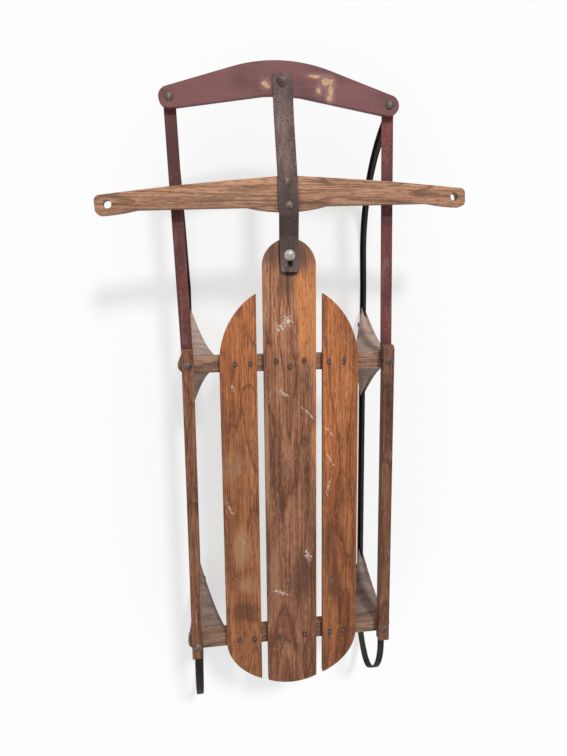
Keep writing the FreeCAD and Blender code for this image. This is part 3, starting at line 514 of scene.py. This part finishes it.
# Stains and bare patches, and on the centre slat painted shade too: their middles, half sizes, strengths
# and colours.
CENTRE_STAINS_AND_SHADE = (
    (behind_pin(0.004, -0.004), (0.060, 0.034), 0.60, SOOT),
    (behind_pin(0.004, 0.044), (0.020, 0.030), 0.55, SOOT),
    # Painted shadow: the dark crescent cast on the deck just behind the steering bar's tail.
    (behind_pin(-0.001, 0.029), (0.015, 0.0075), 0.90, PAINTED_SHADE_BLACK),
    # Painted shade: the deck under the steering bar's keyhole slot and tail, painted near black.
    (behind_pin(-0.001, 0.012), (0.009, 0.012), 1.0, PAINTED_SHADE_BLACK),
    (behind_pin(0.041, 0.330), (0.0045, 0.130), 0.70, BARE_TAN),
    (behind_pin(0.030, 0.555), (0.010, 0.060), 0.45, BARE_TAN),
    (behind_pin(-0.018, 0.560), (0.018, 0.060), 0.60, OIL),
)
LEFT_STAINS = (
    (behind_pin(0.088, 0.500), (0.018, 0.045), 0.60, BARE_TAN),
    (behind_pin(0.078, 0.570), (0.020, 0.020), 0.45, BARE_TAN),
    (behind_pin(0.100, 0.350), (0.022, 0.030), 0.35, BARE_TAN),
    (behind_pin(0.085, 0.620), (0.030, 0.022), 0.55, OIL),
)
RIGHT_STAINS = (
    (behind_pin(-0.080, 0.585), (0.016, 0.045), 0.60, OIL),
    (behind_pin(-0.066, 0.500), (0.006, 0.060), 0.45, OIL),
)

# Nails on each side of the sled's middle: the crossbar below, and how far across and behind its middle.
NAILS = (
    (FRONT_BAR, 0.0670, 0.0),
    (FRONT_BAR, 0.0930, 0.0006),
    (REAR_BAR, 0.0690, 0.0),
    (REAR_BAR, 0.0955, -0.001),
    (FRONT_BAR, 0.0240, -0.003),
    (REAR_BAR, 0.0230, 0.0),
)
MIDDLE_NAIL_BEHIND = 0.007
NAIL_RISE = 0.0007


def deck_nails():
    """The nails' places on the slats, in pairs over both crossbars and one on the middle line."""
    spots = [
        (side * across, bar.y + behind, DECK_TOP)
        for side in HANDS.values()
        for bar, across, behind in NAILS
    ]
    return [*spots, (0.0, FRONT_BAR.y + MIDDLE_NAIL_BEHIND, DECK_TOP)]


class SLED_OT_deck(bpy.types.Operator):
    """Finish the three slats and drive the nails"""

    bl_idname = "sled.deck"
    bl_label = "Deck"

    def execute(self, context):
        settings = context.scene.sled
        nails = deck_nails()

        def slat(node, tones, seed, **grain):
            near = [spot for spot in nails if low(node).x < spot[0] < high(node).x]
            finish = wood(f"{node}_wood", "Y", tones, seed, nails=near, **grain)
            ease_edges(node, settings.board_edge, finish)

        left, centre, right = DECK
        varnish = settings.varnish
        slat(
            left, (settings.varnish_dark, toned(varnish, 1.05), settings.varnish_light), 1.0, rings=11.0,
            figure=0.9, scuffs=LEFT_SCUFFS, stains=LEFT_STAINS,
            toe=((0.25, 0.098, 0.042), PIN.y + 0.16, PIN.y + 0.34),
        )
        slat(
            right, (settings.varnish_dark, toned(varnish, 1.20), settings.varnish_light), 3.0, rings=6.0,
            figure=0.2, scuffs=RIGHT_SCUFFS, stains=RIGHT_STAINS,
            toe=((0.150, 0.042, 0.016), PIN.y + 0.30, PIN.y + 0.56),
        )
        slat(
            centre, (settings.centre_dark, settings.centre, settings.centre_light), 2.0, rings=7.0,
            figure=0.5, amber=settings.amber, scuffs=CENTRE_SCUFFS, stains=CENTRE_STAINS_AND_SHADE,
            toe=((0.120, 0.034, 0.014), PIN.y + 0.02, PIN.y + 0.46),
        )
        iron = steel("nail_iron", (0.17, 0.13, 0.11), (0.42, 0.37, 0.33), metal=0.3, rough=0.42)
        heads = [
            dome(spot, settings.nail_radius, NAIL_RISE, lumps=0.05, seed=number)
            for number, spot in enumerate(nails)
        ]
        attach(add_piece("deck_nails", heads, iron), "frame")
        return {"FINISHED"}


class SLED_OT_rails(bpy.types.Operator):
    """Finish the crossbars and side rails"""

    bl_idname = "sled.rails"
    bl_label = "Rails and crossbars"

    def execute(self, context):
        settings = context.scene.sled
        edge = settings.board_edge * 1.4
        for seed, (node, share) in enumerate(zip(CROSSBARS, (1.65, 0.70))):
            tones = ((0.070, 0.036, 0.025), toned(settings.bare_wood, share), (0.46, 0.28, 0.19))
            ease_edges(node, edge, wood(f"{node}_wood", "X", tones, 5.0 + seed, gloss=0.62))
        for seed, (node, share) in enumerate(zip(RAILS, (1.15, 0.85))):
            tones = ((0.045, 0.017, 0.010), toned(settings.rail_wood, share), (0.36, 0.175, 0.095))
            finish = wood(f"{node}_wood", "Y", tones, 8.0 + seed, gloss=0.58, streaks=0.6)
            ease_edges(node, edge, finish)
        return {"FINISHED"}


# ---- knees and runners ---------------------------------------------------------------------------


# A knee's half width at its foot, its reaches inwards and outwards on top and its half depth there, and
# the powers by which it flares and narrows and by which its loops are squared.
KNEE_FOOT = 0.003
KNEE_INNER = 0.0515
KNEE_OUTER = 0.0145
KNEE_TOP_DEPTH = 0.0148
KNEE_FLARE = 0.8
KNEE_TAPER = 1.7
KNEE_SQUARE = 0.42

# How far a drawn piece stays inside the frame's piece.
SKIN = 0.0002

# The rivets of the knees' feet: their height, their distance from the knee's middle and their rise.
RIVET_LEVEL = 0.024
RIVET_PLACE = 0.055
RIVET_RISE = 0.0018


def knee_middle(node):
    """The middle of the crossbar on the knee, along the sled."""
    return FRONT_BAR.y if node.startswith("front") else REAR_BAR.y


def knee_reach(share):
    """How far a knee reaches inwards and outwards from the rail's middle, at a share of its height."""
    flare = share**KNEE_FLARE
    return KNEE_FOOT + (KNEE_INNER - KNEE_FOOT) * flare, KNEE_FOOT + (KNEE_OUTER - KNEE_FOOT) * flare


def squared(wave):
    """A sine or cosine with its flanks steepened, so that the two of them draw a squarish loop."""
    return np.sign(wave) * np.abs(wave) ** KNEE_SQUARE


def knee_points(node, side):
    """A pressed knee: at each height a squarish loop, long and thin at the foot and short and wide on
    top. Its front and rear faces fold in along the runner's line, by a bell curve that is deepest at
    the foot."""
    bottom, top = low(node), high(node)
    foot_depth = (top.y - bottom.y) / 2 - SKIN
    share = np.linspace(0, 1, 40)[:, None]
    turn = np.linspace(0, 2 * np.pi, 96, endpoint=False)[None, :]
    inner, outer = knee_reach(share)
    depth = KNEE_TOP_DEPTH + (foot_depth - KNEE_TOP_DEPTH) * (1 - share) ** KNEE_TAPER
    across = squared(np.cos(turn))
    x = np.where(across * side < 0, inner, outer) * across
    fold = 0.16 * np.exp(-((x / (0.0035 + 0.004 * share)) ** 2)) * np.clip(1.15 - share, 0, 1)
    y = depth * squared(np.sin(turn)) * (1 - fold)
    z = bottom.z + SKIN + (top.z - bottom.z - 2 * SKIN) * share + 0 * x
    return np.stack([side * RAIL_X + x, knee_middle(node) + y, z], axis=-1)


def knee_rivets(node, side, radius):
    """The rivets on both faces of a knee's foot."""
    inner, outer = knee_reach((RIVET_LEVEL - low(node).z) / (high(node).z - low(node).z))
    rivets = []
    for place in (knee_middle(node) - RIVET_PLACE, knee_middle(node) + RIVET_PLACE):
        for facing, reach in ((side, outer), (-side, inner)):
            spot = (side * RAIL_X + facing * reach, place, RIVET_LEVEL)
            rivets.append(dome(spot, radius, RIVET_RISE, axis="X", sign=facing))
    return rivets


class SLED_OT_knees(bpy.types.Operator):
    """Press the four knees and rivet their feet"""

    bl_idname = "sled.knees"
    bl_label = "Knees"

    def execute(self, context):
        settings = context.scene.sled
        rivets = []
        for end, share in (("front", 1.0), ("rear", 0.52)):
            body = toned(settings.knee_grey, share)
            finish = steel(
                f"{end}_knee_sheet", body, toned((0.44, 0.35, 0.31), share), axis="X", metal=0.1, rough=0.6,
                wear=0.45, dark=toned(body, 0.38),
            )
            for hand, side in HANDS.items():
                node = f"{end}_knee_{hand}"
                piece = add_piece(f"{node}_sheet", [knee_points(node, side)], finish)
                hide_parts(node)
                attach(piece, "frame")
                rivets += knee_rivets(node, side, settings.rivet_radius)
        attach(add_piece("knee_rivets", rivets, finish), "frame")
        return {"FINISHED"}


# The runner's strap and web, and the narrowest half width of its tread.
STRAP = 0.003
WEB_HALF = 0.0015
WEB_HEIGHT = 0.015
TREAD_HALF = 0.006

# Its front: the bumper's end rivets, ahead of the pin, and the eye, bend and curve of the prow.
BUMPER_PLACE = 0.2365
BUMPER_HALF = 0.1745
FRONT_EYE = 0.0095
PROW_SETBACK = 0.013
PROW_BEND = 0.005
PROW_RADIUS = 0.2316
PROW_SLOPE = math.radians(63.5)

# Its tail loop: slopes, height of the rearmost point, curves from the foot to the head, and the eye.
TAIL_SLOPE = math.radians(55)
TAIL_HEIGHT = 0.062
TAIL_RISE = 0.088
TAIL_RADIUS = 0.038
TAIL_HEAD = 0.100
REAR_EYE = 0.008


# The distance between a path's places.
STEP = 0.004


def straight_run(start, end):
    """Places spread evenly over a straight line."""
    count = max(2, int(np.linalg.norm(end - start) / STEP) + 1)
    share = np.linspace(0, 1, count)[:, None]
    return start * (1 - share) + end * share


def rounded_run(points, radii):
    """Places along a path of straight runs whose corners are rounded by arcs. An arc's places are the
    blend of its first and last radius by the sines of the angles left and passed."""
    points = [np.array(point, float) for point in points]
    pieces, here = [], points[0]
    for corner, before, after, radius in zip(points[1:-1], points, points[2:], radii):
        back = (before - corner) / np.linalg.norm(before - corner)
        ahead = (after - corner) / np.linalg.norm(after - corner)
        half = math.acos(float(back @ ahead)) / 2
        reach = radius / math.tan(half)
        pieces.append(straight_run(here, corner + back * reach))
        centre = corner + (back + ahead) / np.linalg.norm(back + ahead) * radius / math.sin(half)
        start, end = corner + back * reach - centre, corner + ahead * reach - centre
        sweep = math.pi - 2 * half
        turn = np.linspace(0, 1, max(4, int(radius * sweep / STEP) + 2))[:, None]
        arc = (np.sin((1 - turn) * sweep) * start + np.sin(turn * sweep) * end) / math.sin(sweep)
        pieces.append(centre + arc)
        here = corner + ahead * reach
    path = np.concatenate([*pieces, straight_run(here, points[-1])])
    apart = np.linalg.norm(np.diff(path, axis=0), axis=1) > 1e-5
    return path[np.concatenate([[True], apart])]


def length_along(path):
    """How far each of a path's places lies from its start."""
    return np.concatenate([[0], np.cumsum(np.linalg.norm(np.diff(path, axis=0), axis=1))])


def tee_strip(path, half_width, web_height):
    """A T-section carried along a path in the sled's length and height. The flat lies on the path's
    outer side, as wide to each side as half_width says at each place, and the web stands on its inner
    side, as high as web_height says."""
    heading = np.gradient(path, axis=0)
    heading /= np.linalg.norm(heading, axis=1)[:, None]
    inward = np.stack([-heading[:, 1], heading[:, 0]], axis=-1)
    rim, least_web = 0.0006, 0.0002
    thin = np.full(len(path), STRAP)
    wide, web = half_width, np.full(len(path), WEB_HALF)
    top = thin + np.maximum(web_height, least_web)
    across = [-wide + rim, wide - rim, wide, wide, wide - rim, web, web, web - rim, -web + rim, -web, -web,
              -wide + rim, -wide, -wide]
    none = np.zeros(len(path))
    up = [none, none, none + rim, thin - rim, thin, thin, top - rim * 0.3, top, top, top - rim * 0.3, thin,
          thin, thin - rim, none + rim]
    across, up = np.stack(across, axis=1), np.stack(up, axis=1)
    y = path[:, :1] + inward[:, :1] * up
    z = path[:, 1:] + inward[:, 1:] * up
    return np.stack([across, y, z], axis=-1)


def runner_path(hand):
    """The runner's outer face, from the bumper down the prow, along the ground and round the tail."""
    rivet = PIN.y - BUMPER_PLACE - SKIN
    level = CROSSBAR_TOP - STRAP
    top = CROSSBAR_TOP + STRAP
    bend = rivet + PROW_SETBACK
    corner = high(f"runner_{hand}").y + TAIL_RADIUS * (1 / math.sin(TAIL_SLOPE) - 1)
    return rounded_run(
        [
            (rivet - FRONT_EYE + SKIN / 2, level),
            (bend, level),
            (bend + level / math.tan(PROW_SLOPE), 0),
            (corner - TAIL_HEIGHT / math.tan(TAIL_SLOPE), 0),
            (corner, TAIL_HEIGHT),
            (corner - (top - TAIL_HEIGHT) / math.tan(TAIL_SLOPE), top),
            (REAR_BAR.y - REAR_EYE + SKIN / 2, top),
        ],
        [PROW_BEND, PROW_RADIUS, TAIL_RISE, TAIL_RADIUS, TAIL_HEAD],
    )


def tread_half_width(length):
    """The strap's half width along its length: round eyes at both ends, and narrower between."""
    ends = np.minimum(length, length[-1] - length)
    eye = np.where(length < length[-1] / 2, FRONT_EYE, REAR_EYE)
    round_end = np.sqrt(np.clip(eye**2 - np.clip(eye - ends, 0, None) ** 2, 1e-8, None))
    narrowing = np.clip((ends / eye - 1.6) / 1.4, 0, 1)
    return np.where(ends < 1.6 * eye, np.minimum(round_end, eye), eye + (TREAD_HALF - eye) * narrowing)


def web_rise(path, length):
    """The web's height: it starts behind the front eye and fades out where the tail leaves the ground."""
    growing = np.clip((length - 0.030) / 0.035, 0, 1)
    tail = np.argmax((path[:, 0] > 0) & (path[:, 1] > 0))
    fading = np.clip((length[tail] - length) / 0.030, 0, 1)
    return WEB_HEIGHT * growing * fading


def rest_lean(side, pivot):
    """How far the runner's front leans sideways for each metre ahead of its flexing point."""
    eye = middle("bumper").x + side * BUMPER_HALF
    return (eye - pivot.x) / (pivot.y - PIN.y + BUMPER_PLACE)


class SLED_OT_runners(bpy.types.Operator):
    """Roll the two runners, each one length of T-section from the bumper round to the rail"""

    bl_idname = "sled.runners"
    bl_label = "Runners"

    def execute(self, context):
        settings = context.scene.sled
        finish = steel(
            "runner_black", settings.black, (0.060, 0.034, 0.027), metal=0.0, rough=0.55, wear=0.45,
            dark=(0.008, 0.006, 0.006), shine=0.2,
        )
        joints = frame["record"]["behaviour"]["joints"]
        pivots = {joint["child"]: Vector(joint["pos_m"]) for joint in joints}
        for hand, side in HANDS.items():
            pivot = pivots[f"{hand}_prow"]
            path = runner_path(hand)
            length = length_along(path)
            points = tee_strip(path, tread_half_width(length), web_rise(path, length))
            ahead = np.clip(pivot.y - points[..., 1], 0, None)
            points[..., 0] += pivot.x + rest_lean(side, pivot) * ahead
            piece = add_piece(f"runner_{hand}_steel", [points], finish)
            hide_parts(f"runner_{hand}", f"runner_front_{hand}")
            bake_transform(piece)
        return {"FINISHED"}


# ---- steering, bumper and hardware ---------------------------------------------------------------

# Chips in the bumper's paint: their middles and half sizes.
CHIPS = (
    ((BOLT.x - 0.072, BOLT.y - 0.003), (0.0085, 0.0065)),
    ((BOLT.x - 0.077, BOLT.y + 0.010), (0.0042, 0.0110)),
    ((BOLT.x - 0.076, BOLT.y + 0.021), (0.0042, 0.0045)),
    ((BOLT.x - 0.058, BOLT.y + 0.011), (0.0038, 0.0045)),
    ((BOLT.x - 0.053, BOLT.y - 0.010), (0.0100, 0.0026)),
    ((BOLT.x + 0.025, BOLT.y + 0.005), (0.0055, 0.0050)),
)

# Dark patches on the bar, the handle and the struts: their middles and half sizes. The bar's is staining
# and painted shade.
BAR_LEAN = BOLT.x * 0.3
# The bar's patch over the handle and the drop behind it: staining round the rivets, and painted shade.
BAR_STAIN_AND_SHADE = (behind_pin(BAR_LEAN, -0.05), (0.03, 0.075))
HANDLE_STAIN = (behind_pin(BAR_LEAN, -0.085), (0.026, 0.06), 0.6, SOOT)
STRUT_STAINS = {
    "left": (behind_pin(RAIL_X, -0.165), (0.030, 0.075)),
    "right": (behind_pin(-RAIL_X, -0.060), (0.030, 0.016)),
}


class SLED_OT_steering(bpy.types.Operator):
    """Finish the steering bar, handle, bumper and struts"""

    bl_idname = "sled.steering"
    bl_label = "Steering"

    def execute(self, context):
        settings = context.scene.sled
        handle = wood(
            "handle_wood", "X", ((0.090, 0.036, 0.020), settings.handle_wood, (0.60, 0.35, 0.21)), 11.0,
            rings=10.0, gloss=0.5, streaks=0.6, stains=(HANDLE_STAIN,),
        )
        ease_edges("steering_handle", settings.board_edge * 1.8, handle)
        # The bar's dark patch is staining and painted shade.
        bar = steel(
            "bar_steel", settings.steel, (0.215, 0.145, 0.130), metal=0.2, rough=0.55, wear=0.5,
            stain=BAR_STAIN_AND_SHADE,
        )
        ease_edges("steering_bar", settings.metal_edge, bar, 2)
        ease_edges("bumper", settings.board_edge, painted_wood("bumper_paint", settings, CHIPS))
        for hand, share in (("left", 0.82), ("right", 1.05)):
            red = steel(
                f"strut_{hand}_paint", toned(settings.strut_red, share), (0.150, 0.095, 0.082), metal=0.1,
                rough=0.55, wear=0.65, dark=(0.055, 0.018, 0.016), stain=STRUT_STAINS[hand],
            )
            ease_edges(f"strut_{hand}", settings.metal_edge, red, 2)
        return {"FINISHED"}


class SLED_OT_hardware(bpy.types.Operator):
    """Finish the bolts, rivets and the steering pin"""

    bl_idname = "sled.hardware"
    bl_label = "Bolts, rivets and pin"

    def execute(self, context):
        brown = steel("bolt_steel", (0.15, 0.105, 0.090), (0.30, 0.23, 0.20), metal=0.3, rough=0.42)
        for node in HARDWARE:
            paint(node, brown)
        # The pin is painted black below the steering bar's top: painted shade on its collar under the bar.
        pale = steel(
            "pin_metal", (0.48, 0.46, 0.40), (0.72, 0.70, 0.64), metal=0.3, rough=0.38, wear=0.5,
            dark=(0.24, 0.22, 0.18), below=DECK_TOP + 0.0055,
        )
        paint("steering_pin", pale)
        return {"FINISHED"}


# ---- stage ---------------------------------------------------------------------------------------


FLOOR_REACH = 6.0
FLOOR_DROP = 0.0006

# The camera: where it stands, how it leans about the sled's width and length, its roll and its lens.
CAMERA_PLACE = (0.14035, -0.20032, 1.04996)
CAMERA_LEAN = (0.146, 0.144)
CAMERA_ROLL = 0.010
CAMERA_LENS = 25.87


def floor_material():
    """A white floor: lit as a diffuse surface, and brightened where the camera or a mirror sees it."""
    shader = Shader("studio_floor")
    shader.feed(shader.main.inputs["Base Color"], (0.86, 0.86, 0.86))
    shader.feed(shader.main.inputs["Roughness"], 0.9)
    camera, glossy, transmission = (
        shader.node("ShaderNodeLightPath", output=name)
        for name in ("Is Camera Ray", "Is Glossy Ray", "Is Transmission Ray")
    )
    seen = camera.math("MAXIMUM", glossy).math("MAXIMUM", transmission)
    glow = shader.node("ShaderNodeEmission", None, {"Color": (1, 1, 1), "Strength": 1.0})
    lit = Sock(shader, shader.main.outputs[0])
    blend = shader.node("ShaderNodeMixShader", None, {0: seen * 0.62, 1: lit, 2: glow})
    shader.feed(shader.tree.nodes["Material Output"].inputs["Surface"], blend)
    return shader.material


class SLED_OT_stage(bpy.types.Operator):
    """Set the floor, the light and the camera"""

    bl_idname = "sled.stage"
    bl_label = "Stage"

    def execute(self, context):
        scene = context.scene
        scene.view_settings.view_transform = "Standard"
        corners = [
            (x * FLOOR_REACH, y * FLOOR_REACH, -FLOOR_DROP) for x, y in ((-1, -1), (1, -1), (1, 1), (-1, 1))
        ]
        mesh = bpy.data.meshes.new("studio_floor")
        mesh.from_pydata(corners, [], [(0, 1, 2, 3)])
        mesh.materials.append(floor_material())
        floor = bpy.data.objects.new("studio_floor", mesh)
        scene.collection.objects.link(floor)
        world = bpy.data.worlds.new("studio")
        scene.world = world
        world.use_nodes = True
        sky = world.node_tree.nodes["Background"]
        sky.inputs["Color"].default_value = (1, 1, 1, 1)
        sky.inputs["Strength"].default_value = 0.52
        self.add_sun(scene, "key_light", 2.3, (-0.25, -0.85, 0.95), 9)
        self.add_sun(scene, "fill_light", 0.35, (0.7, 0.5, 0.9), 40)
        self.add_camera(scene)
        return {"FINISHED"}

    @staticmethod
    def add_sun(scene, name, strength, direction, softness):
        light = bpy.data.lights.new(name, "SUN")
        light.energy = strength
        light.angle = math.radians(softness)
        lamp = bpy.data.objects.new(name, light)
        lamp.rotation_euler = Vector(direction).to_track_quat("Z", "Y").to_euler()
        scene.collection.objects.link(lamp)

    @staticmethod
    def add_camera(scene):
        """A camera almost straight above the sled, with its top towards the front."""
        lean = Matrix.Rotation(CAMERA_LEAN[0], 3, "X") @ Matrix.Rotation(CAMERA_LEAN[1], 3, "Y")
        view = lean @ Matrix.Rotation(CAMERA_ROLL, 3, "Z") @ Matrix.Diagonal((-1, -1, 1))
        lens = bpy.data.cameras.new("camera")
        lens.lens = CAMERA_LENS
        lens.clip_start = 0.02
        camera = bpy.data.objects.new("camera", lens)
        camera.matrix_world = Matrix.Translation(CAMERA_PLACE) @ view.transposed().to_4x4()
        scene.collection.objects.link(camera)
        scene.camera = camera


STEPS = (
    SLED_OT_stage,
    SLED_OT_deck,
    SLED_OT_rails,
    SLED_OT_knees,
    SLED_OT_runners,
    SLED_OT_steering,
    SLED_OT_hardware,
)


class SLED_PT_panel(bpy.types.Panel):
    """The sled's steps and settings"""

    bl_idname = "SLED_PT_panel"
    bl_label = "Wooden Sled"
    bl_space_type = "VIEW_3D"
    bl_region_type = "UI"
    bl_category = "Sled"

    def draw(self, context):
        for step in STEPS:
            self.layout.operator(step.bl_idname)
        for name in SledSettings.__annotations__:
            self.layout.prop(context.scene.sled, name)


CLASSES = (SledSettings, *STEPS, SLED_PT_panel)


def register():
    for item in CLASSES:
        bpy.utils.register_class(item)
    bpy.types.Scene.sled = PointerProperty(type=SledSettings)


def unregister():
    del bpy.types.Scene.sled
    for item in reversed(CLASSES):
        bpy.utils.unregister_class(item)


def main():
    register()
    for step in STEPS:
        group, name = step.bl_idname.split(".")
        getattr(getattr(bpy.ops, group), name)()


if __name__ == "__main__":
    main()
